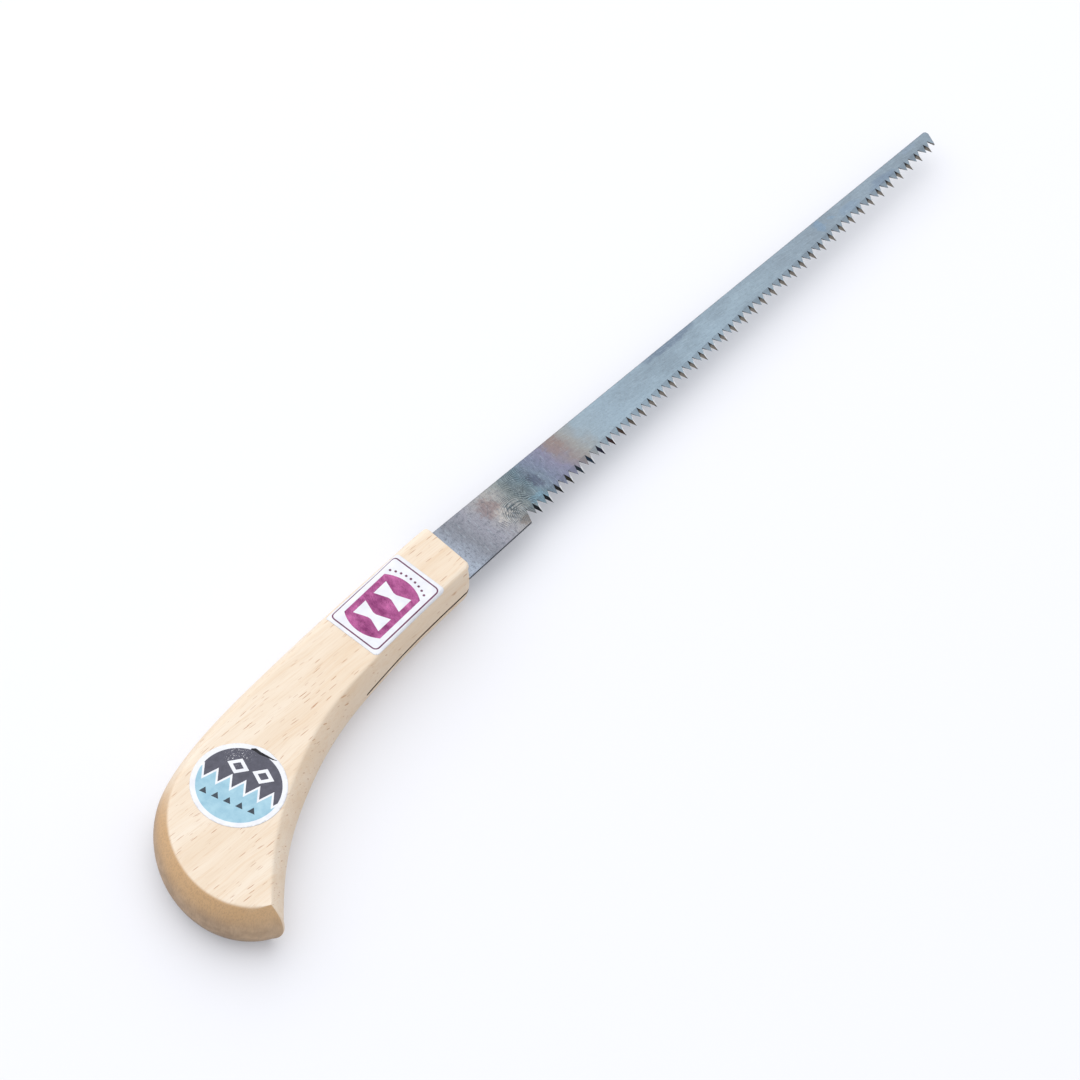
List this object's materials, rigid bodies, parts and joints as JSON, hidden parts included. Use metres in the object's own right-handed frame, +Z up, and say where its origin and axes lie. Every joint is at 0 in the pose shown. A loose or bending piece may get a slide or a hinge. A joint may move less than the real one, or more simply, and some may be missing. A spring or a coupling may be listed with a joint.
{
  "type": "hand saw",
  "caption": "Pull saw with a narrow tapered toothed blade held in the kerf of a one-piece wooden pistol-grip handle.",
  "frame": {"origin": "centre of the saw's bounding box in plan, on the surface it lies on", "axes": "+X along the blade towards its tip, +Y from the teeth towards the blade's straight spine, +Z up through the saw's thickness as it lies on its side"},
  "size_m": [0.3912, 0.0712, 0.0201],
  "materials": {
    "beech": "sanded, bare",
    "blade_steel": "ground and tempered, with heat tint and stains",
    "pin_steel": "plain wire",
    "maker_paper": "printed, with metallic ink",
    "round_paper": "printed, semi-gloss"
  },
  "bodies": {
    "root": {"handle": "beech", "blade": "blade_steel", "front_pin": "pin_steel", "rear_pin": "pin_steel", "maker_label": "maker_paper", "tooth_label": "round_paper"}
  },
  "joints": []
}
